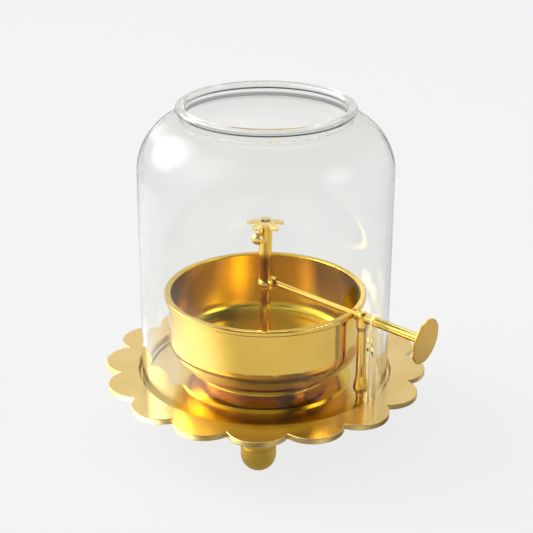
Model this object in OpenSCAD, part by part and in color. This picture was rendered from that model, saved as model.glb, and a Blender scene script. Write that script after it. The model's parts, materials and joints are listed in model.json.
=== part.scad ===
// Brass oil lamp for a long-burning flame: petal-edged base plate on three feet, oil bowl on a
// pedestal, wick raised by a toothed wheel on a side rod, and a lift-off glass chimney.
// Millimetres, +Z up, origin on the lamp's axis in the plane of the feet. The front is -Y.

/* [Base plate] */
// Width of the petal rim outside the well
rim_w = 16.5; // [15:0.5:18]
// Number of petals round the edge
petals = 16; // [15:1:18]
// Radius of each rounded petal
petal_r = 14.6; // [14.2:0.1:16]
// Thickness of the plate
plate_t = 2.8; // [2.4:0.1:3.2]
// Rounding of the petal edges
petal_edge_r = 0.4; // [0.2:0.1:0.9]
// Gap in the well round the chimney
well_gap = 1.5; // [1:0.1:2.5]
// Depth of the well
well_depth = 4; // [3:0.5:6]
// Rounding of the well's upper edge
well_edge_r = 0.8; // [0.5:0.1:1.4]
// Rounding of the well's inner corner
well_corner_r = 1; // [0.5:0.1:1.4]

/* [Feet] */
// Height of the feet, from the table to the underside of the well
foot_h = 17.8; // [16:0.2:22]
// Width of a foot
foot_d = 16; // [14:0.5:18]
// Distance of the feet inwards from the well's edge
foot_inset = 5; // [5:0.5:10]
// Width of the flat that a foot stands on
foot_flat_d = 6; // [4:0.5:8]
// Width of the collar above a foot
foot_collar_d = 8; // [6:0.5:8]
// Height of the collar above a foot
foot_collar_h = 3; // [2:0.2:4]
// Radius of the fine groove turned round a foot
foot_groove_r = 0.4; // [0.2:0.1:0.6]

/* [Pedestal] */
// Height of the pedestal under the bowl
pedestal_h = 6.5; // [5:0.5:9]
// Width of the pedestal's flange outside its neck
flange_w = 9.9; // [8:0.1:12]
// Thickness of the flange at the neck
flange_t = 2.2; // [1.8:0.1:2.8]
// Thickness of the flange at its edge
flange_edge_t = 1; // [0.8:0.1:1.4]
// Radius of the fillet between neck and flange
neck_fillet_r = 1.6; // [1:0.1:2.2]
// Radius of the spigot that centres the bowl
spigot_r = 12; // [10:0.5:14]
// Height of the spigot that centres the bowl
spigot_h = 1.5; // [1:0.1:2]

/* [Oil bowl] */
// Outer radius of the bowl's wall
bowl_r = 45.6; // [42:0.2:52]
// Thickness of the bowl's wall
bowl_wall = 1.2; // [1:0.1:1.4]
// Height of the bowl from its seat to its lip
bowl_h = 36.5; // [34:0.5:38]
// Radius of the rounded belly
belly_r = 14.5; // [13.5:0.5:15]
// Thickness of the cast floor
bowl_floor_t = 6.5; // [6:0.1:7]
// Radius of the inner corner between floor and wall
bowl_corner_r = 6; // [5.8:0.1:6.6]
// How far the flat lip stands out from the wall
lip_out = 1.8; // [1.4:0.1:2.2]
// Height of the lip
lip_h = 2.6; // [2:0.1:3.2]
// Rounding of the lip's edges
lip_edge_r = 0.6; // [0.3:0.1:0.9]
// Solid metal left between the centre screw and the tube's socket
floor_web_t = 1.2; // [1:0.1:1.6]

/* [Wick and burner] */
// Diameter of the wick
wick_d = 3; // [2.8:0.05:3]
// Gap between the wick and what is round it
wick_gap = 0.3; // [0.3:0.05:0.4]
// Wall of the tube that guides the wick
tube_wall = 0.6; // [0.5:0.05:0.7]
// How far the tube ends below the top of the burner sleeve
tube_drop = 2.2; // [1:0.1:3]
// Width of the oil inlets at the foot of the tube
inlet_d = 1.6; // [1.2:0.1:2]
// Depth of the socket that holds the tube
socket_depth = 1.5; // [1:0.1:2]
// Height of the burner sleeve
sleeve_h = 27.9; // [26:0.1:29]
// Wall of the burner sleeve at its foot
sleeve_foot_wall = 0.35; // [0.3:0.05:0.5]
// Wall of the burner sleeve at its top
sleeve_top_wall = 0.75; // [0.6:0.05:0.9]
// Width of the slit down the sleeve's front
slit_w = 1.1; // [0.8:0.1:1.3]
// Height of the slit's pointed end above the sleeve's foot
slit_h = 20.4; // [18:0.2:20.6]
// Reach of the star's petals from the wick
star_r = 8.9; // [8:0.1:9.4]
// Radius of each rounded star petal
star_tip_r = 2.2; // [1.8:0.1:2.4]
// Radius of the star's middle
star_hub_r = 4.6; // [4.2:0.1:5]
// Thickness of the star
star_t = 1; // [0.8:0.1:1.2]
// Radius of the dome that the star is pressed to
star_dome_r = 30; // [24:1:60]
// How far the wick stands above the star
wick_show = 0.4; // [-1:0.1:5]

/* [Thumbscrew] */
// Diameter of the ball head
ball_d = 5.6; // [5.2:0.1:6]
// Height of the thumbscrew above the sleeve's foot
screw_rise = 22.3; // [22.2:0.1:23.4]
// Diameter of the screw's shank
shank_d = 2; // [1.8:0.1:2.2]
// Diameter of the boss that the screw turns in
boss_d = 3.2; // [3:0.1:3.4]

/* [Wick raiser] */
// Direction of the rod, turned from +X towards the front
rod_angle = 33; // [30:1:36]
// Downward slope of the rod towards the knob
rod_tilt = 5; // [4:0.25:5.5]
// Height of the rod above the lip, over the wick's axis
rod_rise = 2.7; // [2.4:0.1:3.6]
// Diameter of the rod
rod_d = 3.2; // [3:0.1:3.3]
// Diameter of the rod's thin end inside the raiser
rod_end_d = 2.2; // [2:0.1:2.3]
// Radius to the tips of the wheel's teeth
wheel_r = 2; // [1.95:0.05:2.1]
// Depth of the wheel's teeth
tooth_depth = 0.5; // [0.3:0.05:0.55]
// Number of teeth on the wheel
teeth = 12; // [8:1:14]
// Thickness of the wheel
wheel_t = 1.4; // [1:0.1:1.6]
// Radius of the rounded knuckle round the tube
knuckle_r = 3.9; // [3.8:0.1:4.4]
// Height of the knuckle
knuckle_h = 5.2; // [5.2:0.1:5.8]
// Outer diameter of the raiser's barrel
barrel_d = 5.8; // [5.6:0.1:6.4]
// Diameter of the knob's disc
knob_d = 21.4; // [18:0.2:23]
// Thickness of the knob's disc
knob_t = 1.2; // [1:0.1:1.6]
// Length of the raiser's wall that the rod runs in, on each side of the wheel
barrel_wall = 1.8; // [1.4:0.1:2.4]
// Distance of the knob outwards from the chimney
knob_out = 25.5; // [20:0.5:30]
// Diameter of the knob's hub
knob_hub_d = 5.6; // [5:0.1:6.4]
// Height of the knob's hub
knob_hub_h = 2.2; // [1.8:0.1:3]
// Depth of the rod's end in the knob's hub
rod_socket_h = 1.4; // [1:0.1:1.7]

/* [Support post] */
// Gap between the bowl's lip and the post's head
post_gap = 1; // [0.6:0.1:2]
// Diameter of the post's shaft
post_d = 4.4; // [4:0.1:4.8]
// Diameter of the post's bulb
bulb_d = 6.5; // [6:0.1:7]
// Diameter of the post's head
head_d = 5.6; // [5.4:0.1:6.4]
// Diameter of the bead at the post's foot
bead_d = 4; // [3.6:0.1:4.4]
// Outer diameter of the tube that carries the rod
bearing_d = 4.4; // [4.2:0.1:4.5]
// Height of the narrow waist between bead and bulb
post_waist = 0.6; // [0.3:0.1:1]
// Diameter of the post's threaded end below the plate
stud_d = 3.5; // [3:0.1:3.8]
// How far the threaded end stands out of its nut
stud_end = 0.6; // [0.4:0.1:1.5]

/* [Chimney] */
// Gap between the post's bulb and the chimney
glass_gap = 2.05; // [1:0.05:3]
// Wall of the chimney
glass_wall = 2; // [1.6:0.1:2.2]
// Height of the chimney's straight wall
glass_straight_h = 102.5; // [97:0.5:108]
// Radius of the rounded shoulder
shoulder_r = 26.3; // [25:0.1:27]
// Distance of the mouth's bead inwards from the straight wall
mouth_inset = 19.9; // [19:0.1:21]
// Height of the upright neck below the mouth's bead
mouth_neck_h = 1.4; // [0.6:0.1:2]
// Height of the bead round the mouth
mouth_bead_h = 3.4; // [2.8:0.1:4]
// Width of the bead round the mouth
mouth_bead_w = 4.4; // [4.1:0.1:4.8]
// Gap between the rod's tube and the slot that passes it
rod_slot_gap = 0.9; // [0.9:0.1:1.4]

/* [Fastenings and fits] */
// Diameter of the centre screw
bolt_d = 6; // [5:0.5:7]
// Width of the centre screw's head across its flats
bolt_head_w = 10; // [9:0.5:12]
// Height of the centre screw's head
bolt_head_h = 4; // [3:0.5:5]
// Diameter of the washer under the plate
washer_d = 18; // [15:0.5:22]
// Thickness of the washer under the plate
washer_t = 1.2; // [1:0.1:1.6]
// Width of the post's nut across its flats
nut_w = 6.5; // [6:0.5:8]
// Height of the post's nut
nut_h = 2.6; // [2:0.1:3]
// Clearance of a turning shaft in its hole, on the radius
run_gap = 0.05; // [0.03:0.01:0.08]
// Clearance of a fixed pin in its hole, on the radius
fit_gap = 0.05; // [0.03:0.01:0.08]
// Gap between pieces that move past each other
move_gap = 0.3; // [0.3:0.05:0.4]

/* [Hidden] */
$fn = 96;
// Small overlap that keeps cuts clear of a face
cut = 1;
// Heights above the table
well_under_z = foot_h;
floor_z = foot_h + plate_t;
plate_top_z = floor_z + well_depth;
plate_under_z = plate_top_z - plate_t;
seat_z = floor_z + pedestal_h;
lip_z = seat_z + bowl_h;
bowl_floor_z = seat_z + bowl_floor_t;
rod_z = lip_z + rod_rise;
knuckle_top_z = rod_z + knuckle_h / 2;
sleeve_top_z = knuckle_top_z + sleeve_h;
tube_h = sleeve_top_z - tube_drop - bowl_floor_z;
// Radii and diameters that follow from the ones above
bowl_inner_r = bowl_r - bowl_wall;
lip_outer_r = bowl_r + lip_out;
neck_r = bowl_r - belly_r;
flange_r = neck_r + flange_w;
post_r = lip_outer_r + post_gap + head_d / 2;
glass_r = post_r + bulb_d / 2 + glass_gap + glass_wall;
well_r = glass_r + well_gap;
dish_r = well_r + plate_t;
plate_r = well_r + rim_w;
petal_pitch_r = plate_r - petal_r;
foot_pitch_r = well_r - foot_inset;
mouth_r = glass_r - mouth_inset;
rod_slot_w = bearing_d + 2 * rod_slot_gap;
tube_bore_d = wick_d + 2 * wick_gap;
tube_d = tube_bore_d + 2 * tube_wall;
sleeve_bore_d = tube_d + 2 * run_gap;
sleeve_foot_d = sleeve_bore_d + 2 * sleeve_foot_wall;
sleeve_top_d = sleeve_bore_d + 2 * sleeve_top_wall;
rod_off = wick_d / 2 + wick_gap + wheel_r;
chamber_d = 2 * wheel_r + 2 * move_gap;
star_mid_z = sleeve_top_z - sqrt(pow(star_dome_r, 2) - pow(sleeve_top_d / 2, 2));
star_top_z = star_mid_z + star_dome_r + star_t;
// Places along the rod, measured from the wick
chamber_end = wheel_t / 2 + 2 * move_gap;
plug_start = -tube_d / 2 - 2 * move_gap;
barrel_start = plug_start - barrel_wall;
barrel_end = chamber_end + barrel_wall;
rod_shoulder = barrel_end + move_gap;
post_reach = sqrt(pow(post_r, 2) - pow(rod_off, 2));
bearing_start = post_reach - head_d / 2 - move_gap;
knob_reach = glass_r + knob_out;
knob_hub_start = knob_reach - knob_hub_h;
bearing_end = knob_hub_start - move_gap;
// Where the post stands, and how high the rod passes through it
post_axis_h = rod_z - floor_z - post_reach * tan(rod_tilt);
// The chimney
glass_mid_r = glass_r - glass_wall / 2;
shoulder_z = floor_z + glass_straight_h;
shoulder_mid_r = glass_r - shoulder_r;
neck_top_z = shoulder_z + sqrt(pow(shoulder_r, 2) - pow(mouth_r - shoulder_mid_r, 2));
mouth_bead_z = neck_top_z + mouth_neck_h + mouth_bead_h / 2;
slot_top_z = rod_z - glass_mid_r * tan(rod_tilt);
// Directions seen from above: the slit, the star's first petal and the thumbscrew
view_turn = 2.65;
star_petals = 5;
screw_turn = 239;
foot_turns = [270, 30, 150];

// A ring or disc of rounded outline, as a half section from the axis
module rounded_disc(r, t, edge) {
  rotate_extrude() {
    square([r - edge, t]);
    translate([0, edge])
      square([r, t - 2 * edge]);
    translate([r - edge, edge])
      intersection() {
        circle(edge);
        square([2 * edge, 4 * edge], center = true);
      }
    translate([r - edge, t - edge])
      circle(edge);
  }
}

// Stands children on the rod's axis, with +Z outwards along it
module on_rod(reach) {
  translate([0, 0, rod_z])
    rotate([0, 0, -rod_angle])
      translate([0, rod_off, 0])
        rotate([0, rod_tilt, 0])
          translate([reach, 0, 0])
            rotate([0, 90, 0])
              children();
}

// Stands children upright where the post stands
module at_post(z) {
  rotate([0, 0, -rod_angle])
    translate([post_reach, rod_off, z])
      children();
}

module base_plate() {
  color("#d9b65a")
  difference() {
    union() {
      for (i = [0 : petals - 1])
        rotate([0, 0, 270 + i * 360 / petals])
          translate([petal_pitch_r, 0, plate_under_z])
            rounded_disc(petal_r, plate_t, petal_edge_r);
      dish();
    }
    well();
    translate([0, 0, well_under_z - cut])
      cylinder(d = bolt_d + 2 * fit_gap, h = plate_t + 2 * cut);
    at_post(well_under_z - cut)
      cylinder(d = stud_d + 2 * fit_gap, h = plate_t + 2 * cut);
    for (turn = foot_turns)
      rotate([0, 0, turn])
        translate([foot_pitch_r, 0, well_under_z - cut])
          cylinder(d = foot_collar_d / 2 + 2 * fit_gap, h = plate_t / 2 + cut);
  }
}

// The pressed dish under the plate, as thick as the plate
module dish() {
  outer_corner_r = well_corner_r + plate_t;
  corner_mid_r = well_r - well_corner_r;
  rotate_extrude() {
    translate([0, well_under_z])
      square([corner_mid_r, plate_t]);
    translate([0, floor_z + well_corner_r])
      square([dish_r, plate_under_z - floor_z - well_corner_r + plate_t / 2]);
    translate([corner_mid_r, floor_z + well_corner_r])
      intersection() {
        circle(outer_corner_r);
        translate([0, -outer_corner_r])
          square(outer_corner_r);
      }
  }
}

// The hollow of the well, with its rounded corner and edge
module well() {
  corner_mid_r = well_r - well_corner_r;
  rotate_extrude() {
    translate([0, floor_z])
      square([corner_mid_r, well_depth + cut]);
    translate([0, floor_z + well_corner_r])
      square([well_r, well_depth - well_corner_r + cut]);
    translate([corner_mid_r, floor_z + well_corner_r])
      circle(well_corner_r);
    difference() {
      translate([corner_mid_r, plate_top_z - well_edge_r])
        square([well_corner_r + well_edge_r, well_edge_r + cut]);
      translate([well_r + well_edge_r, plate_top_z - well_edge_r])
        circle(well_edge_r);
    }
  }
}

module foot() {
  ball_r = foot_d / 2;
  ball_z = sqrt(pow(ball_r, 2) - pow(foot_flat_d / 2, 2));
  body_top = foot_h - foot_collar_h;
  edge = 1.2;
  translate([foot_pitch_r, 0, 0])
    rotate_extrude()
      difference() {
        union() {
          intersection() {
            translate([0, ball_z])
              circle(ball_r);
            square([ball_r, ball_z]);
          }
          translate([0, ball_z])
            square([ball_r, body_top - ball_z - edge]);
          square([ball_r - edge, body_top]);
          translate([ball_r - edge, body_top - edge])
            circle(edge);
          square([foot_collar_d / 2, foot_h]);
          square([foot_collar_d / 4, foot_h + plate_t / 2 - 2 * fit_gap]);
        }
        translate([0, -cut])
          square([ball_r, cut]);
        difference() {
          square([2 * ball_r, ball_z]);
          translate([0, ball_z])
            circle(ball_r);
        }
        translate([ball_r, body_top - 2 * edge])
          circle(foot_groove_r);
      }
}

module front_foot() {
  color("#c9a24a")
    rotate([0, 0, foot_turns[0]])
      foot();
}

module right_foot() {
  color("#c9a24a")
    rotate([0, 0, foot_turns[1]])
      foot();
}

module left_foot() {
  color("#c9a24a")
    rotate([0, 0, foot_turns[2]])
      foot();
}

module pedestal() {
  fillet_mid_r = neck_r + neck_fillet_r;
  color("#cfa64b")
  translate([0, 0, floor_z])
    difference() {
      rotate_extrude() {
        polygon([[0, 0], [flange_r, 0], [flange_r, flange_edge_t], [fillet_mid_r, flange_t], [0, flange_t]]);
        square([neck_r, pedestal_h]);
        difference() {
          square([fillet_mid_r, flange_t + neck_fillet_r]);
          translate([fillet_mid_r, flange_t + neck_fillet_r])
            circle(neck_fillet_r);
        }
        square([spigot_r, pedestal_h + spigot_h]);
      }
      translate([0, 0, -cut])
        cylinder(d = bolt_d + 2 * fit_gap, h = pedestal_h + spigot_h + 2 * cut);
    }
}

// Full outline of the bowl, from its flat seat to its flat lip
module bowl_outline() {
  square([neck_r, bowl_h - lip_h]);
  translate([0, belly_r])
    square([bowl_r, bowl_h - lip_h - belly_r + lip_edge_r]);
  translate([neck_r, belly_r])
    circle(belly_r);
  translate([bowl_inner_r, bowl_h - lip_h])
    rounded_band(bowl_wall + lip_out, lip_h, lip_edge_r);
}

// A band with its corner at the origin and four rounded edges
module rounded_band(w, h, edge) {
  translate([edge, 0])
    square([w - 2 * edge, h]);
  translate([0, edge])
    square([w, h - 2 * edge]);
  for (x = [edge, w - edge], y = [edge, h - edge])
    translate([x, y])
      circle(edge);
}

// Hollow of the bowl, with its rounded inner corner
module bowl_hollow() {
  translate([0, bowl_floor_t])
    square([bowl_inner_r - bowl_corner_r, bowl_h]);
  translate([0, bowl_floor_t + bowl_corner_r])
    square([bowl_inner_r, bowl_h]);
  translate([bowl_inner_r - bowl_corner_r, bowl_floor_t + bowl_corner_r])
    circle(bowl_corner_r);
}

module oil_bowl() {
  notch_d = rod_d + 4 * move_gap;
  notch_start = bowl_inner_r - 2 * bowl_wall;
  notch_len = 4 * (bowl_wall + lip_out);
  color("#c9992e")
  difference() {
    translate([0, 0, seat_z])
      difference() {
        rotate_extrude()
          difference() {
            bowl_outline();
            bowl_hollow();
            translate([-bowl_r, -cut])
              square([bowl_r, bowl_h + 2 * cut]);
          }
        translate([0, 0, -cut])
          cylinder(r = spigot_r + fit_gap, h = spigot_h + fit_gap + cut);
        cylinder(d = bolt_d + 2 * fit_gap, h = bowl_floor_t - floor_web_t - socket_depth);
        translate([0, 0, bowl_floor_t - socket_depth])
          cylinder(d = tube_d + 2 * fit_gap, h = socket_depth + cut);
      }
    on_rod(notch_start)
      translate([-2 * lip_h, -notch_d / 2, 0])
        cube([2 * lip_h + notch_d / 2, notch_d, notch_len]);
  }
}

module centre_screw() {
  head_z = well_under_z - washer_t - bolt_head_h;
  color("#b8b2a4") {
    translate([0, 0, head_z])
      cylinder(d = bolt_head_w / cos(30), h = bolt_head_h, $fn = 6);
    translate([0, 0, head_z])
      cylinder(d = bolt_d, h = bowl_floor_z - socket_depth - floor_web_t - fit_gap - head_z);
  }
}

module centre_washer() {
  color("#b8b2a4")
    translate([0, 0, well_under_z - washer_t])
      difference() {
        cylinder(d = washer_d, h = washer_t);
        translate([0, 0, -cut])
          cylinder(d = bolt_d + 2 * fit_gap, h = washer_t + 2 * cut);
      }
}

module support_post() {
  bead_z = bead_d * 0.45;
  bulb_z = bead_d / 2 + bulb_d / 2 + post_waist;
  taper_z = bulb_z + bulb_d * 0.16;
  taper_r = sqrt(pow(bulb_d / 2, 2) - pow(taper_z - bulb_z, 2));
  head_foot_z = post_axis_h - bearing_d;
  color("#cda548")
  difference() {
    at_post(floor_z) {
      intersection() {
        translate([0, 0, bead_z])
          sphere(d = bead_d);
        cylinder(d = 2 * bead_d, h = bulb_z);
      }
      translate([0, 0, bulb_z])
        sphere(d = bulb_d);
      translate([0, 0, taper_z])
        cylinder(r1 = taper_r, r2 = post_d / 2, h = bulb_d * 0.8);
      cylinder(d = stud_d, h = bulb_z);
      translate([0, 0, bulb_z])
        cylinder(d = post_d, h = post_axis_h - bulb_z);
      translate([0, 0, head_foot_z - post_d / 2])
        cylinder(d1 = post_d, d2 = head_d, h = post_d / 2);
      translate([0, 0, head_foot_z])
        cylinder(d = head_d, h = post_axis_h - head_foot_z);
      translate([0, 0, post_axis_h])
        sphere(d = head_d);
      translate([0, 0, -plate_t - nut_h - stud_end])
        cylinder(d = stud_d, h = plate_t + nut_h + stud_end);
    }
    on_rod(bearing_start - cut)
      cylinder(d = bearing_d + 2 * fit_gap, h = 2 * head_d);
  }
}

module post_nut() {
  color("#b8b2a4")
    at_post(well_under_z - nut_h)
      difference() {
        cylinder(d = nut_w / cos(30), h = nut_h, $fn = 6);
        translate([0, 0, -cut])
          cylinder(d = stud_d + 2 * fit_gap, h = nut_h + 2 * cut);
      }
}

module bearing_tube() {
  color("#d2ab4c")
    on_rod(bearing_start)
      difference() {
        cylinder(d = bearing_d, h = bearing_end - bearing_start);
        translate([0, 0, -cut])
          cylinder(d = rod_d + 2 * run_gap, h = bearing_end - bearing_start + 2 * cut);
      }
}

module wick_tube() {
  foot_z = bowl_floor_z - socket_depth;
  window_w = wheel_t + 4 * move_gap;
  window_h = 2 * wheel_r + 2 * move_gap;
  color("#c7a04a")
  difference() {
    translate([0, 0, foot_z])
      cylinder(d = tube_d, h = tube_h + socket_depth);
    translate([0, 0, foot_z - cut])
      cylinder(d = tube_bore_d, h = tube_h + socket_depth + 2 * cut);
    for (turn = [0, 90])
      translate([0, 0, bowl_floor_z + 1.5 * inlet_d])
        rotate([0, 90, turn])
          cylinder(d = inlet_d, h = 2 * tube_d, center = true);
    rotate([0, 0, -rod_angle])
      translate([-window_w / 2, 0, rod_z - window_h / 2])
        cube([window_w, tube_d, window_h]);
  }
}

module raiser_housing() {
  color("#b98f35")
  difference() {
    union() {
      intersection() {
        translate([0, 0, rod_z])
          sphere(r = knuckle_r);
        translate([0, 0, rod_z - knuckle_h / 2])
          cylinder(r = 2 * knuckle_r, h = knuckle_h);
      }
      on_rod(barrel_start)
        cylinder(d = barrel_d, h = barrel_end - barrel_start);
    }
    translate([0, 0, rod_z - barrel_d])
      cylinder(d = tube_d + 2 * fit_gap, h = 2 * barrel_d);
    on_rod(barrel_start - cut)
      cylinder(d = chamber_d, h = chamber_end - barrel_start + cut);
    on_rod(0)
      cylinder(d = rod_end_d + 2 * run_gap, h = barrel_end + cut);
    translate([0, 0, knuckle_top_z])
      cylinder(r = 3 * knuckle_r, h = barrel_d);
  }
}

module housing_plug() {
  color("#c9a24a")
    on_rod(barrel_start)
      difference() {
        cylinder(d = chamber_d, h = plug_start - barrel_start);
        translate([0, 0, -cut])
          cylinder(d = rod_end_d + 2 * run_gap, h = plug_start - barrel_start + 2 * cut);
      }
}

module adjuster_rod() {
  color("#dcb95c") {
    on_rod(barrel_start)
      cylinder(d = rod_end_d, h = rod_shoulder - barrel_start);
    on_rod(rod_shoulder)
      cylinder(d = rod_d, h = knob_hub_start + rod_socket_h - rod_shoulder);
  }
}

module toothed_wheel() {
  root_r = wheel_r - tooth_depth;
  half_tooth = 180 / teeth;
  color("#a8842f")
    on_rod(-wheel_t / 2)
      difference() {
        linear_extrude(wheel_t)
          polygon([for (i = [0 : 2 * teeth - 1])
            let (r = i % 2 == 0 ? wheel_r : root_r)
            [r * cos(i * half_tooth), r * sin(i * half_tooth)]]);
        translate([0, 0, -cut])
          cylinder(d = rod_end_d + 2 * fit_gap, h = wheel_t + 2 * cut);
      }
}

module knob_disc() {
  edge = knob_t * 0.4;
  color("#d8b35a")
    on_rod(knob_hub_start)
      difference() {
        union() {
          cylinder(d = knob_hub_d, h = knob_hub_h + knob_t / 2);
          translate([0, 0, knob_hub_h])
            rounded_disc(knob_d / 2, knob_t, edge);
        }
        translate([0, 0, -cut])
          cylinder(d = rod_d + 2 * fit_gap, h = rod_socket_h + fit_gap + cut);
      }
}

module wick() {
  tip_z = star_top_z + wick_show;
  foot_z = bowl_floor_z + 4;
  color("#efe9da") {
    translate([0, 0, foot_z])
      cylinder(d = wick_d, h = tip_z - wick_d / 2 - foot_z);
    translate([0, 0, tip_z - wick_d / 2])
      sphere(d = wick_d);
  }
}

module burner_sleeve() {
  boss_r = sleeve_top_d / 2 + move_gap;
  color("#cfa64b")
  difference() {
    union() {
      translate([0, 0, knuckle_top_z])
        cylinder(d1 = sleeve_foot_d, d2 = sleeve_top_d, h = sleeve_h);
      translate([0, 0, knuckle_top_z + screw_rise])
        rotate([0, 90, screw_turn])
          cylinder(d = boss_d, h = boss_r);
    }
    translate([0, 0, knuckle_top_z - cut])
      cylinder(d = sleeve_bore_d, h = sleeve_h + 2 * cut);
    translate([0, 0, knuckle_top_z])
      rotate([90, 0, view_turn])
        linear_extrude(sleeve_top_d)
          polygon([[-slit_w / 2, -cut], [slit_w / 2, -cut], [slit_w / 2, slit_h - slit_w], [0, slit_h],
            [-slit_w / 2, slit_h - slit_w]]);
    translate([0, 0, knuckle_top_z + screw_rise])
      rotate([0, 90, screw_turn])
        cylinder(d = shank_d + 2 * run_gap, h = 2 * boss_r);
  }
}

module flame_star() {
  color("#d8bd78")
  intersection() {
    translate([0, 0, star_mid_z])
      difference() {
        sphere(r = star_dome_r + star_t);
        sphere(r = star_dome_r);
      }
    translate([0, 0, star_mid_z])
      difference() {
        linear_extrude(2 * star_dome_r)
          star_outline();
        cylinder(d = tube_bore_d + 2 * wick_gap, h = 2 * star_dome_r + cut);
      }
  }
}

// Five rounded petals round a middle, seen from above
module star_outline() {
  arm_w = 1.6 * star_tip_r;
  circle(star_hub_r);
  for (i = [0 : star_petals - 1])
    rotate(90 + view_turn + i * 360 / star_petals) {
      translate([star_r - star_tip_r, 0])
        circle(star_tip_r);
      translate([0, -arm_w / 2])
        square([star_r - star_tip_r, arm_w]);
    }
}

module thumbscrew() {
  tip_r = tube_d / 2 + move_gap;
  boss_r = sleeve_top_d / 2 + move_gap;
  ball_mid_r = boss_r + move_gap + ball_d / 2;
  color("#d9b65a")
    translate([0, 0, knuckle_top_z + screw_rise])
      rotate([0, 90, screw_turn]) {
        translate([0, 0, tip_r])
          cylinder(d = shank_d, h = ball_mid_r - tip_r);
        translate([0, 0, ball_mid_r])
          sphere(d = ball_d);
      }
}

// Wall of the chimney as a half section: straight wall, rounded shoulder, neck and beaded mouth
module glass_outline() {
  shoulder_in_r = shoulder_r - glass_wall;
  bead_end_r = mouth_bead_h / 2;
  bead_half = mouth_bead_w / 2 - bead_end_r;
  translate([glass_mid_r, floor_z + glass_wall / 2])
    circle(glass_wall / 2);
  translate([glass_r - glass_wall, floor_z + glass_wall / 2])
    square([glass_wall, glass_straight_h - glass_wall / 2]);
  intersection() {
    translate([shoulder_mid_r, shoulder_z])
      difference() {
        circle(shoulder_r);
        circle(shoulder_in_r);
      }
    translate([mouth_r - glass_wall / 2, shoulder_z])
      square([glass_r, 2 * shoulder_r]);
  }
  translate([mouth_r - glass_wall / 2, neck_top_z - glass_wall])
    square([glass_wall, mouth_bead_z - neck_top_z + glass_wall]);
  for (side = [-1, 1])
    translate([mouth_r + side * bead_half, mouth_bead_z])
      circle(bead_end_r);
  translate([mouth_r - bead_half, mouth_bead_z - bead_end_r])
    square([2 * bead_half, mouth_bead_h]);
}

module glass_chimney() {
  slot_len = 6 * glass_wall;
  color("#dfe8e4", 0.35)
  difference() {
    rotate_extrude()
      glass_outline();
    rotate([0, 0, -rod_angle])
      translate([glass_r - slot_len / 2, rod_off, 0]) {
        translate([0, -rod_slot_w / 2, floor_z - cut])
          cube([slot_len, rod_slot_w, slot_top_z - floor_z + cut]);
        translate([0, 0, slot_top_z])
          rotate([0, 90, 0])
            cylinder(d = rod_slot_w, h = slot_len);
      }
  }
}

base_plate();
front_foot();
right_foot();
left_foot();
pedestal();
oil_bowl();
centre_screw();
centre_washer();
support_post();
post_nut();
bearing_tube();
wick_tube();
raiser_housing();
housing_plug();
adjuster_rod();
toothed_wheel();
knob_disc();
wick();
burner_sleeve();
flame_star();
thumbscrew();
glass_chimney();
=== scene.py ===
import json
import math
import bpy
from mathutils import Matrix, Vector


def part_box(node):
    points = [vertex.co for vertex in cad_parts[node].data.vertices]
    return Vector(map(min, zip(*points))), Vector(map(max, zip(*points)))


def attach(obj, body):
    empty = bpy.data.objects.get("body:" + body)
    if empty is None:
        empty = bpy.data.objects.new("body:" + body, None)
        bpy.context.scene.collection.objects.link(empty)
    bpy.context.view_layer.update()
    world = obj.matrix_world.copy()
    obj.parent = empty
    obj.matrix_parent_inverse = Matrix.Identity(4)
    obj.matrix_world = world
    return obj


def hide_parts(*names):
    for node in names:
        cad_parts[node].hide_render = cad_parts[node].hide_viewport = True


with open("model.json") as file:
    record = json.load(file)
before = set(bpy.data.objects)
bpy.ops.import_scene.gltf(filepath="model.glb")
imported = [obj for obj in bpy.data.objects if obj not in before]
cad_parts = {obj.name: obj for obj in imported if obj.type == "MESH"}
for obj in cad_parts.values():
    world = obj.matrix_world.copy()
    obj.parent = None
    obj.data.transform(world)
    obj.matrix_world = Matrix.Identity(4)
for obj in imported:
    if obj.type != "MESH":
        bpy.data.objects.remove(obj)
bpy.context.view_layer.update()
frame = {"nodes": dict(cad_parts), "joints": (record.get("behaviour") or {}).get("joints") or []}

nodes = frame["nodes"]
print("lamp frame loaded:", len(nodes), "nodes")


# shader maths: a wrapped socket that takes part in sums
class Wire:
    def __init__(self, tree, socket=None):
        self.tree = tree
        self.socket = socket

    # links a wire to each named socket, or sets a plain value there
    def feed(self, target, sockets):
        for name, value in sockets.items():
            if isinstance(value, Wire):
                self.tree.links.new(value.socket, target.inputs[name])
            else:
                target.inputs[name].default_value = value

    # any node: its type, its settings first, then its sockets by name or number
    def node(self, kind, settings=None, sockets=None, out=0):
        made = self.tree.nodes.new(kind)
        for name, value in (settings or {}).items():
            if name == "stops":
                for stop, (place, colour) in zip(made.color_ramp.elements, value):
                    stop.position = place
                    stop.color = (*colour, 1)
            else:
                setattr(made, name, value)
        self.feed(made, sockets or {})
        return Wire(self.tree, made.outputs[out])

    # another output of the same node
    def also(self, output):
        return Wire(self.tree, self.socket.node.outputs[output])

    def maths(self, operation, left, right):
        return self.node("ShaderNodeMath", {"operation": operation}, {0: left, 1: right})

    def __add__(self, other):
        return self.maths("ADD", self, other)

    def __radd__(self, other):
        return self.maths("ADD", other, self)

    def __sub__(self, other):
        return self.maths("SUBTRACT", self, other)

    def __rsub__(self, other):
        return self.maths("SUBTRACT", other, self)

    def __mul__(self, other):
        return self.maths("MULTIPLY", self, other)

    def __rmul__(self, other):
        return self.maths("MULTIPLY", other, self)

    def __pow__(self, other):
        return self.maths("POWER", self, other)

    def __neg__(self):
        return self.maths("MULTIPLY", self, -1.0)


noiseMean = 0.5  # noise swings evenly to both sides of this


def noise(place, grain):  # grain holds the noise's scale per metre, detail and roughness
    return place.node("ShaderNodeTexNoise", None, {"Vector": place, **grain})


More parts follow.
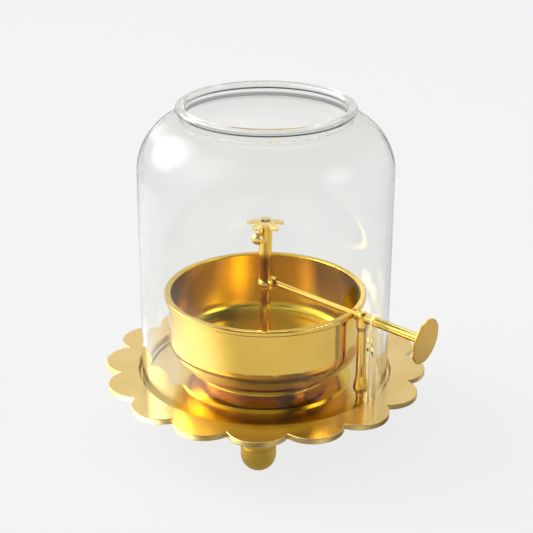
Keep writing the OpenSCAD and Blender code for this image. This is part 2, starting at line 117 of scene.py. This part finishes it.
def tones(share, low, high):  # low and high are a place on the ramp and its colour
    return share.node("ShaderNodeValToRGB", {"stops": [low, high]}, {"Fac": share})


def ramp(value, low, high):  # eased from 0 at low to 1 at high
    return value.node("ShaderNodeMapRange", {"interpolation_type": "SMOOTHSTEP"},
                      {"Value": value, "From Min": low, "From Max": high})


def split(vector):
    parts = vector.node("ShaderNodeSeparateXYZ", None, {"Vector": vector})
    return [parts.also(axis) for axis in "XYZ"]


def fromAxis(place):  # a point's distance from the lamp's axis, and its height
    x, y, z = split(place)
    return (x * x + y * y) ** 0.5, z


def distance(place, centre):
    return place.node("ShaderNodeVectorMath", {"operation": "DISTANCE"}, {0: place, 1: centre}, out="Value")


def greyOf(level):
    return level.node("ShaderNodeCombineColor", None, {"Red": level, "Green": level, "Blue": level})


def mixColour(share, first, second):
    return share.node("ShaderNodeMix", {"data_type": "RGBA"}, {0: share, 6: first, 7: (*second, 1)}, out=2)


def mixShader(share, first, second):
    return first.node("ShaderNodeMixShader", None, {0: share, 1: first, 2: second})


def newMaterial(name):
    material = bpy.data.materials.new(name)
    material.use_nodes = True
    tree = material.node_tree
    return material, Wire(tree), tree.nodes["Principled BSDF"]


# brass: the finish of each kind of piece
brassLook = {
    "satin": {"light": (0.86, 0.635, 0.26), "deep": (0.79, 0.555, 0.19),
              "rough": 0.20, "spread": 0.10, "lines": 0.08},
    "polished": {"light": (0.89, 0.60, 0.12), "deep": (0.83, 0.54, 0.09),
                 "rough": 0.10, "spread": 0.06, "lines": 0.04},
    "bowl": {"light": (0.845, 0.556, 0.108), "deep": (0.795, 0.505, 0.080),
             "rough": 0.10, "spread": 0.06, "lines": 0.03,
             "inside": (0.80, 0.568, 0.045), "insideShare": 0.9, "insideRough": 0.22,
             "insideRadius": 0.0450, "insideLow": 0.0335},
    # tube is a darker copy of brass: painted shade for the dark bowl the wick tube stands in and mirrors
    "tube": {"light": (0.57, 0.41, 0.04), "deep": (0.52, 0.36, 0.03),
             "rough": 0.10, "spread": 0.06, "lines": 0.03},
    "pedestal": {"light": (0.80, 0.58, 0.055), "deep": (0.74, 0.52, 0.04),
                 "rough": 0.16, "spread": 0.06, "lines": 0.03},
    "foot": {"light": (0.88, 0.57, 0.09), "deep": (0.82, 0.51, 0.07),
             "rough": 0.20, "spread": 0.08, "lines": 0.05},
    "pale": {"light": (0.97, 0.74, 0.30), "deep": (0.92, 0.68, 0.25),
             "rough": 0.27, "spread": 0.08, "lines": 0.06},
    "bearing": {"light": (0.78, 0.60, 0.15), "deep": (0.72, 0.54, 0.12),
                "rough": 0.15, "spread": 0.06, "lines": 0.04},
    "disc": {"light": (0.90, 0.555, 0.095), "deep": (0.84, 0.49, 0.075),
             "rough": 0.24, "spread": 0.10, "lines": 0.06},
}
# tarnish clouds, polishing smears and tool lines
brassGrain = {"cloud": {"Scale": 55.0, "Detail": 4.0, "Roughness": 0.55},
              "smear": {"Scale": 240.0, "Detail": 3.0, "Roughness": 0.6},
              "turned": {"Scale": 2400.0, "Detail": 2.0, "Roughness": 0.5},
              "plain": {"Scale": 900.0, "Detail": 2.0, "Roughness": 0.5},
              "deepAt": 0.30, "lightAt": 0.72, "lineDepth": 0.0002}


def makeBrass(name, look, turned=True):
    material, wire, shader = newMaterial(name)
    place = wire.node("ShaderNodeTexCoord", out="Object")
    cloud = noise(place, brassGrain["cloud"])
    smear = noise(place, brassGrain["smear"])
    tone = tones(cloud, (brassGrain["deepAt"], look["deep"]), (brassGrain["lightAt"], look["light"]))
    rough = look["rough"] + (smear - noiseMean) * look["spread"]
    # the bowl is deeper in colour and duller inside
    if "inside" in look:
        radius, height = fromAxis(place)
        within = wire.maths("LESS_THAN", radius, look["insideRadius"])
        inside = within * wire.maths("GREATER_THAN", height, look["insideLow"])
        rough = rough + inside * (look["insideRough"] - look["rough"])
        tone = mixColour(inside * look["insideShare"], tone, look["inside"])
    # turning lines go round the lamp's axis, as a lathe leaves them
    if turned:
        radius, height = fromAxis(place)
        rings = wire.node("ShaderNodeCombineXYZ", None, {"X": radius, "Y": height})
        lines = noise(rings, brassGrain["turned"])
    else:
        lines = noise(place, brassGrain["plain"])
    bump = wire.node("ShaderNodeBump", None,
                     {"Strength": look["lines"], "Distance": brassGrain["lineDepth"], "Height": lines})
    wire.feed(shader, {"Base Color": tone, "Roughness": rough, "Metallic": 1.0, "Normal": bump})
    return material


satinBrass = makeBrass("satinBrass", brassLook["satin"])
polishedBrass = makeBrass("polishedBrass", brassLook["polished"])
bowlBrass = makeBrass("bowlBrass", brassLook["bowl"])
paintedShadeTubeBrass = makeBrass("paintedShadeTubeBrass", brassLook["tube"])
pedestalBrass = makeBrass("pedestalBrass", brassLook["pedestal"])
footBrass = makeBrass("footBrass", brassLook["foot"], turned=False)
barBrass = makeBrass("barBrass", brassLook["polished"], turned=False)
discBrass = makeBrass("discBrass", brassLook["disc"], turned=False)
paleBrass = makeBrass("paleBrass", brassLook["pale"], turned=False)
bearingBrass = makeBrass("bearingBrass", brassLook["bearing"], turned=False)


# plain steel of the hidden fastenings
steelLook = {"light": (0.62, 0.60, 0.57), "deep": (0.45, 0.44, 0.42), "deepAt": 0.3, "lightAt": 0.7,
             "rough": 0.34, "spread": 0.15, "grain": {"Scale": 700.0, "Detail": 4.0, "Roughness": 0.5}}


def makeSteel():
    material, wire, shader = newMaterial("screwSteel")
    place = wire.node("ShaderNodeTexCoord", out="Object")
    grain = noise(place, steelLook["grain"])
    tone = tones(grain, (steelLook["deepAt"], steelLook["deep"]), (steelLook["lightAt"], steelLook["light"]))
    rough = steelLook["rough"] + (grain - noiseMean) * steelLook["spread"]
    wire.feed(shader, {"Base Color": tone, "Roughness": rough, "Metallic": 1.0})
    return material


screwSteel = makeSteel()


# chimney glass; the drops are heights below the top of the mouth
glassLook = {"tint": (0.985, 0.99, 0.982), "smudge": (0.968, 0.975, 0.966), "smudgeAt": 0.35, "tintAt": 0.6,
             "film": {"Scale": 24.0, "Detail": 3.0, "Roughness": 0.5},
             "rough": 0.004, "filmRough": 0.006, "ior": 1.30,
             # top is a painted shade, a greyer tint towards the mouth
             "top": (0.93, 0.94, 0.915), "shadeDrop": (0.0334, 0.0064),
             "rimIor": 1.58, "rimDrop": 0.0041,
             "neckDrop": (0.0154, 0.0104), "neckClear": 0.45, "neckTint": (0.93, 0.94, 0.93, 1),
             "shadowTint": (0.95, 0.96, 0.95, 1), "depthTint": (0.70, 0.72, 0.70, 1), "depth": 50.0}
# the slot for the rod: half its width, where its round end starts, and its ground edge, whose warm tint is a
# painted reflection of the brass
slotCut = {"half": 0.0031, "top": 0.06127, "band": 0.00012, "dullShare": 0.85, "tint": (0.74, 0.66, 0.49, 1)}


def groundEdge(x, y, z):
    # the slot lies in line with the rod, which the knob turns
    rod = next(joint for joint in frame["joints"] if joint["name"] == "knob_turn")
    way = -Vector(rod["axis"]).to_2d().normalized()
    start = Vector(rod["pos_m"]).to_2d()
    along = x * way.x + y * way.y
    across = y * way.x - x * way.y - (start.y * way.x - start.x * way.y)
    rise = z.maths("MAXIMUM", z - slotCut["top"], 0.0)
    reach = (across * across + rise * rise) ** 0.5
    near = z.node("ShaderNodeMath", {"operation": "COMPARE"},
                  {0: reach, 1: slotCut["half"], 2: slotCut["band"]})
    return near * z.maths("GREATER_THAN", along, 0.0)


def makeGlass():
    material, wire, shader = newMaterial("chimneyGlass")
    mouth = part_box("glass_chimney")[1][2]
    place = wire.node("ShaderNodeTexCoord", out="Object")
    x, y, z = split(place)
    film = noise(place, glassLook["film"])
    tone = tones(film, (glassLook["smudgeAt"], glassLook["smudge"]), (glassLook["tintAt"], glassLook["tint"]))
    # painted shade: the blown shoulder is tinted greyer towards the mouth
    paintedShoulderShade = ramp(z, *(mouth - drop for drop in glassLook["shadeDrop"]))
    tone = mixColour(paintedShoulderShade, tone, glassLook["top"])
    rough = glassLook["rough"] + film * glassLook["filmRough"]
    clear = {"Base Color": tone, "Roughness": rough, "Transmission Weight": 1.0}
    wire.feed(shader, {**clear, "IOR": glassLook["ior"]})
    # the bead round the mouth bends light more strongly than the blown wall
    rim = wire.node("ShaderNodeBsdfPrincipled", None, {**clear, "IOR": glassLook["rimIor"]})
    onRim = wire.maths("GREATER_THAN", z, mouth - glassLook["rimDrop"])
    body = mixShader(onRim, Wire(wire.tree, shader.outputs[0]), rim)
    # light inside the top of the shoulder isn't caught in the wall
    fromInside = wire.node("ShaderNodeNewGeometry", out="Backfacing")
    high = ramp(z, *(mouth - drop for drop in glassLook["neckDrop"]))
    onNeck = fromInside * high * (1 - onRim)
    thin = wire.node("ShaderNodeBsdfTransparent", None, {"Color": glassLook["neckTint"]})
    body = mixShader(onNeck * glassLook["neckClear"], body, thin)
    # light passes the glass to the brass behind it
    shadow = wire.node("ShaderNodeLightPath", out="Is Shadow Ray")
    passing = wire.node("ShaderNodeBsdfTransparent", None, {"Color": glassLook["shadowTint"]})
    body = mixShader(shadow, body, passing)
    # the sawn edges of the rod's slot are ground dull; their warm tint is a painted reflection of the brass
    dull = wire.node("ShaderNodeBsdfDiffuse", None, {"Color": slotCut["tint"]})
    milkyPaintedSheen = wire.node("ShaderNodeBsdfTranslucent", None, {"Color": slotCut["tint"]})
    edge = mixShader(slotCut["dullShare"], thin, wire.node("ShaderNodeAddShader", None, {0: dull, 1: milkyPaintedSheen}))
    whole = mixShader(groundEdge(x, y, z), body, edge)
    # the wall looks darker where the eye passes along it
    depth = wire.node("ShaderNodeVolumeAbsorption", None,
                      {"Color": glassLook["depthTint"], "Density": glassLook["depth"]})
    wire.feed(wire.tree.nodes["Material Output"], {"Surface": whole, "Volume": depth})
    return material


chimneyGlass = makeGlass()


# cotton of the wick, singed at its tip
cottonLook = {"pale": (0.86, 0.82, 0.71), "shade": (0.62, 0.56, 0.44), "singed": (0.30, 0.26, 0.20),
              "shadeAt": 0.3, "paleAt": 0.65, "fibre": {"Scale": 2600.0, "Detail": 4.0, "Roughness": 0.65},
              "rough": 0.9, "bump": 0.5, "bumpDepth": 0.0002,
              "singeBelow": 0.0016, "singeAbove": 0.0004, "singeShare": 0.55}


def makeCotton(tipZ):
    material, wire, shader = newMaterial("wickCotton")
    place = wire.node("ShaderNodeTexCoord", out="Object")
    z = split(place)[2]
    fibre = noise(place, cottonLook["fibre"])
    tone = tones(fibre, (cottonLook["shadeAt"], cottonLook["shade"]),
                 (cottonLook["paleAt"], cottonLook["pale"]))
    nearTip = wire.node("ShaderNodeMapRange", None,
                        {"Value": z, "From Min": tipZ - cottonLook["singeBelow"],
                         "From Max": tipZ + cottonLook["singeAbove"]})
    tone = mixColour(nearTip * cottonLook["singeShare"], tone, cottonLook["singed"])
    bump = wire.node("ShaderNodeBump", None,
                     {"Strength": cottonLook["bump"], "Distance": cottonLook["bumpDepth"], "Height": fibre})
    wire.feed(shader, {"Base Color": tone, "Roughness": cottonLook["rough"], "Normal": bump})
    return material


# finishes on the CAD pieces
finishes = {
    satinBrass: ["base_plate"],
    footBrass: ["front_foot", "right_foot", "left_foot"],
    pedestalBrass: ["pedestal"],
    polishedBrass: ["support_post", "burner_sleeve"],
    paintedShadeTubeBrass: ["wick_tube"],
    bowlBrass: ["oil_bowl"],
    barBrass: ["adjuster_rod", "raiser_housing", "housing_plug", "toothed_wheel"],
    discBrass: ["knob_disc"],
    paleBrass: ["flame_star", "thumbscrew"],
    bearingBrass: ["bearing_tube"],
    screwSteel: ["centre_screw", "centre_washer", "post_nut"],
    chimneyGlass: ["glass_chimney"],
}
for material, names in finishes.items():
    for name in names:
        nodes[name].data.materials.clear()
        nodes[name].data.materials.append(material)
print("finishes set on", sum(len(names) for names in finishes.values()), "pieces")


# wick: three twisted strands of cotton with a frayed tip
wickMake = {"strands": 3, "strandRadius": 0.00078, "offset": 0.00070, "pitch": 0.0085,
            "around": 10, "perTurn": 22, "tipRoom": 0.0008, "weld": 0.000002}
# loose fibres at the tip; turn is the golden angle between one and the next
fibreMake = {"count": 14, "sides": 6, "foot": 0.00022, "tip": 0.00005,
             "turn": 2.39996, "lean": 0.35, "sunk": 0.0009,
             "nearest": 0.00035, "scatter": 0.0009, "scatterStep": 7,
             "shortest": 0.0007, "longer": 0.0006, "longerStep": 5, "lengths": 9}


def twistStrand(number, low, length):
    turns = length / wickMake["pitch"]
    bpy.ops.object.select_all(action="DESELECT")
    bpy.ops.mesh.primitive_circle_add(vertices=wickMake["around"], radius=wickMake["strandRadius"],
                                      fill_type="NGON", location=(wickMake["offset"], 0, low))
    strand = bpy.context.object
    bpy.ops.object.transform_apply(location=True, rotation=True, scale=True)
    screw = strand.modifiers.new("twist", "SCREW")
    screw.axis = "Z"
    screw.angle = turns * 2 * math.pi
    screw.screw_offset = length
    screw.steps = screw.render_steps = int(turns * wickMake["perTurn"])
    screw.use_merge_vertices = False
    bpy.ops.object.modifier_apply(modifier="twist")
    bpy.ops.object.mode_set(mode="EDIT")
    bpy.ops.mesh.select_all(action="SELECT")
    bpy.ops.transform.rotate(value=number * 2 * math.pi / wickMake["strands"], orient_axis="Z",
                             center_override=(0, 0, 0))
    bpy.ops.mesh.remove_doubles(threshold=wickMake["weld"])
    bpy.ops.mesh.normals_make_consistent(inside=False)
    bpy.ops.object.mode_set(mode="OBJECT")
    return strand


def looseFibre(number, high):
    angle = number * fibreMake["turn"]
    scatter = (number * fibreMake["scatterStep"]) % fibreMake["count"] / fibreMake["count"]
    longer = (number * fibreMake["longerStep"]) % fibreMake["lengths"] / fibreMake["lengths"]
    reach = fibreMake["nearest"] + fibreMake["scatter"] * scatter
    tall = fibreMake["shortest"] + fibreMake["longer"] * longer
    lean = fibreMake["lean"]
    place = (reach * math.cos(angle), reach * math.sin(angle), high - fibreMake["sunk"] + tall / 2)
    bpy.ops.object.select_all(action="DESELECT")
    bpy.ops.mesh.primitive_cone_add(vertices=fibreMake["sides"], radius1=fibreMake["foot"],
                                    radius2=fibreMake["tip"], depth=tall, location=place,
                                    rotation=(lean * math.sin(angle), lean * math.cos(angle), 0))
    bpy.ops.object.transform_apply(location=True, rotation=True, scale=True)
    return bpy.context.object


def makeWick():
    low, high = (corner[2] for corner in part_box("wick"))
    length = high - low - wickMake["tipRoom"]
    strands = [twistStrand(number, low, length) for number in range(wickMake["strands"])]
    strands += [looseFibre(number, high) for number in range(fibreMake["count"])]
    bpy.ops.object.select_all(action="DESELECT")
    for strand in strands:
        strand.select_set(True)
    bpy.context.view_layer.objects.active = strands[0]
    bpy.ops.object.join()
    wick = bpy.context.object
    wick.name = "twistedWick"
    bpy.ops.object.shade_smooth()
    wick.data.materials.clear()
    wick.data.materials.append(makeCotton(high))
    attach(wick, "wick_run")
    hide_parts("wick")
    print("wick twisted:", len(wick.data.polygons), "faces")


makeWick()


# floor and backdrop in one pale tone; shade is how much of a shadow shows
backdrop = {"tone": 0.857, "shade": 0.07, "size": 6.0, "below": 0.0004}
# a bright patch beside the left lamp, which brass and glass show
lightPool = {"centre": (-0.13, -0.03, 0), "inner": 0.03, "outer": 0.14, "gain": 1.15}
# painted light and painted shade on the floor: brighter and darker patches that show only in mirrored light
mirrorPools = {
    "leftFar": {"centre": (-0.28, 0.12, 0), "inner": 0.05, "outer": 0.21, "gain": 0.64},
    "rightFar": {"centre": (0.25, 0.16, 0), "inner": 0.05, "outer": 0.26, "gain": -0.6},
    "backFar": {"centre": (-0.12, 0.30, 0), "inner": 0.03, "outer": 0.14, "gain": -0.28},
    "frontFar": {"centre": (0.0, -0.26, 0), "inner": 0.125, "outer": 0.16, "gain": -0.95},
    "leftFront": {"centre": (-0.17, -0.18, 0), "inner": 0.03, "outer": 0.08, "gain": -0.7},
    "rightFront": {"centre": (0.14, -0.07, 0), "inner": 0.05, "outer": 0.10, "gain": -0.6},
    "frontNear": {"centre": (0.0, -0.10, 0), "inner": 0.03, "outer": 0.06, "gain": -0.22},
    "leftNear": {"centre": (-0.12, -0.09, 0), "inner": 0.015, "outer": 0.085, "gain": 6.0},
}
# rings of dusk round the lamp: under its plate, and far out
nearDusk = {"inner": 0.085, "outer": 0.13, "depth": 0.44}
farDusk = {"inner": 0.27, "outer": 0.55, "depth": 0.52}


def makeFloor():
    bpy.ops.object.select_all(action="DESELECT")
    bpy.ops.mesh.primitive_plane_add(size=backdrop["size"], location=(0, 0, -backdrop["below"]))
    floor = bpy.context.object
    floor.name = "paleFloor"
    material, wire, shader = newMaterial("paleFloor")
    wire.tree.nodes.remove(shader)
    tone = backdrop["tone"]
    lit = wire.node("ShaderNodeBsdfDiffuse", None, {"Color": (tone, tone, tone, 1)})
    camera = wire.node("ShaderNodeLightPath", out="Is Camera Ray")
    glossy = camera.also("Is Glossy Ray")
    through = camera.also("Is Transmission Ray")
    spot = wire.node("ShaderNodeTexCoord", out="Object")

    def poolOf(pool):
        return ramp(distance(spot, pool["centre"]), pool["outer"], pool["inner"]) * (tone * pool["gain"])

    reach = distance(spot, (0, 0, 0))
    near = ramp(reach, nearDusk["outer"], nearDusk["inner"]) * (tone * nearDusk["depth"])
    far = ramp(reach, farDusk["inner"], farDusk["outer"]) * (tone * farDusk["depth"])
    level = tone + (1 - camera) * poolOf(lightPool) - glossy * near
    # a ray through the glass counts as glossy too, but isn't mirrored
    mirrored = glossy * (1 - through)
    level = level + mirrored * (sum(poolOf(pool) for pool in mirrorPools.values()) - far)
    even = wire.node("ShaderNodeEmission", None, {"Color": greyOf(level), "Strength": 1.0})
    seen = wire.maths("MAXIMUM", wire.maths("MAXIMUM", camera, through), glossy)
    surface = mixShader(seen * (1 - backdrop["shade"]), lit, even)
    wire.feed(wire.tree.nodes["Material Output"], {"Surface": surface})
    floor.data.materials.append(material)


# studio walls and their levels; a ramp is from and to, along one axis of the ray's direction
studio = {"dim": 0.42, "least": 0.03,
          "back": 0.37, "backRamp": (-0.4, 0.7),
          "left": 0.20, "leftRamp": (-0.25, 0.35),
          "overhead": 0.82, "overheadRamp": (0.55, 0.9),
          "front": 0.40, "frontRamp": (0.1, 0.7), "frontRise": (0.0, 0.25),
          "outline": 0.80, "outlineRamp": (0.05, 0.35)}
# soft panels: direction and spread in degrees, and level
highlights = {
    "leftPanel": {"azimuth": 155, "height": 28, "inner": 7, "outer": 28, "level": 6.2},
    "rightPanel": {"azimuth": -14, "height": 28, "inner": 2, "outer": 22, "level": 1.1},
    "rodPanel": {"azimuth": 202, "height": 42, "inner": 6, "outer": 30, "level": 1.6},
}
# glows reach the brass inside the glass too
glows = {
    "skyGlow": {"azimuth": 90, "height": 58, "inner": 5, "outer": 22, "level": 1.7},
    "leftGlow": {"azimuth": 188, "height": 36, "inner": 8, "outer": 42, "level": 1.2},
}
# a dark flag at the right, mirrored most by the brass inside the glass
rightFlag = {"azimuth": 335, "height": 30, "inner": 10, "outer": 42, "level": -0.6, "outside": 0.35}


def makeWorld():
    world = bpy.data.worlds.new("studio")
    bpy.context.scene.world = world
    world.use_nodes = True
    wire = Wire(world.node_tree)
    tone = backdrop["tone"]
    camera = wire.node("ShaderNodeLightPath", out="Is Camera Ray")
    through = camera.also("Is Transmission Ray")
    x, y, z = split(wire.node("ShaderNodeTexCoord", out="Generated"))

    def glow(panel):
        side, up = math.radians(panel["azimuth"]), math.radians(panel["height"])
        facing = x * (math.cos(up) * math.cos(side)) + y * (math.cos(up) * math.sin(side)) + z * math.sin(up)
        rim, core = (math.cos(math.radians(panel[part])) for part in ("outer", "inner"))
        return ramp(facing, rim, core) * panel["level"]

    # pale behind the lamp and at its left, dim behind the camera
    walls = studio["dim"] + ramp(y, *studio["backRamp"]) * studio["back"]
    walls = walls + ramp(-x, *studio["leftRamp"]) * studio["left"]
    walls = walls + sum(glow(panel) for panel in highlights.values())
    flagShare = rightFlag["outside"] + through * (1 - rightFlag["outside"])
    room = sum(glow(panel) for panel in glows.values()) + flagShare * glow(rightFlag)
    # through the glass the backdrop is pale low down and dim overhead
    seenThrough = tone - ramp(z, *studio["overheadRamp"]) * studio["overhead"]
    frontward = ramp(-y, *studio["frontRamp"]) * ramp(z, *studio["frontRise"])
    seenThrough = seenThrough - frontward * studio["front"]
    # rays that pass straight through the glass, with no bounce before it, draw its dark outlines
    straight = wire.maths("LESS_THAN", camera.also("Glossy Depth"), 0.5)
    seenThrough = seenThrough - straight * ramp(z, *studio["outlineRamp"]) * studio["outline"]
    level = wire.maths("MAXIMUM", walls + through * (seenThrough - walls) + room, studio["least"])
    level = level + camera * (tone - level)
    wire.feed(wire.tree.nodes["Background"], {"Color": greyOf(level), "Strength": 1.0})


makeFloor()
makeWorld()

# lamps: round soft boxes, with this strength at the centre, which fades towards the rim
softBoxes = {
    "leftBox": {"place": (-0.72, 0.30, 0.52), "aim": (0, 0, 0.10),
                "across": 0.80, "power": 6.0, "centre": 2.4},
    "rightBox": {"place": (0.80, -0.22, 0.52), "aim": (0, 0, 0.10),
                 "across": 0.70, "power": 2.5, "centre": 2.4},
}


def makeSoftBox(name, box):
    lamp = bpy.data.lights.new(name, "AREA")
    lamp.shape = "DISK"
    lamp.size = box["across"]
    lamp.energy = box["power"]
    lamp.use_nodes = True
    wire = Wire(lamp.node_tree)
    off = distance(wire.node("ShaderNodeNewGeometry", out="Position"), box["place"])
    fade = wire.node("ShaderNodeMapRange", {"interpolation_type": "SMOOTHERSTEP"},
                     {"Value": off, "From Min": box["across"] / 2, "From Max": 0.0, "To Max": box["centre"]})
    wire.feed(wire.tree.nodes["Emission"], {"Strength": fade})
    holder = bpy.data.objects.new(name, lamp)
    bpy.context.scene.collection.objects.link(holder)
    holder.location = box["place"]
    holder.rotation_euler = (Vector(box["aim"]) - Vector(box["place"])).to_track_quat("-Z", "Y").to_euler()
    holder.visible_glossy = False


for name, box in softBoxes.items():
    makeSoftBox(name, box)
print("studio lit by", len(softBoxes), "soft boxes")

# camera at the photograph's angle, in metres and degrees
view = {"place": (0.02837, -0.60167, 0.32642), "down": 22.66, "turn": 2.65, "roll": 0.39,
        "angle": 21.57, "nearest": 0.01}
lens = bpy.data.cameras.new("viewCamera")
lens.angle = math.radians(view["angle"])
lens.clip_start = view["nearest"]
viewCamera = bpy.data.objects.new("viewCamera", lens)
bpy.context.scene.collection.objects.link(viewCamera)
turn = Matrix.Rotation(math.radians(view["turn"]), 4, "Z")
tip = Matrix.Rotation(math.radians(90 - view["down"]), 4, "X")
roll = Matrix.Rotation(math.radians(view["roll"]), 4, "Z")
viewCamera.matrix_world = Matrix.Translation(view["place"]) @ turn @ tip @ roll
bpy.context.scene.camera = viewCamera
bpy.context.scene.view_settings.view_transform = "Standard"
print("camera set")
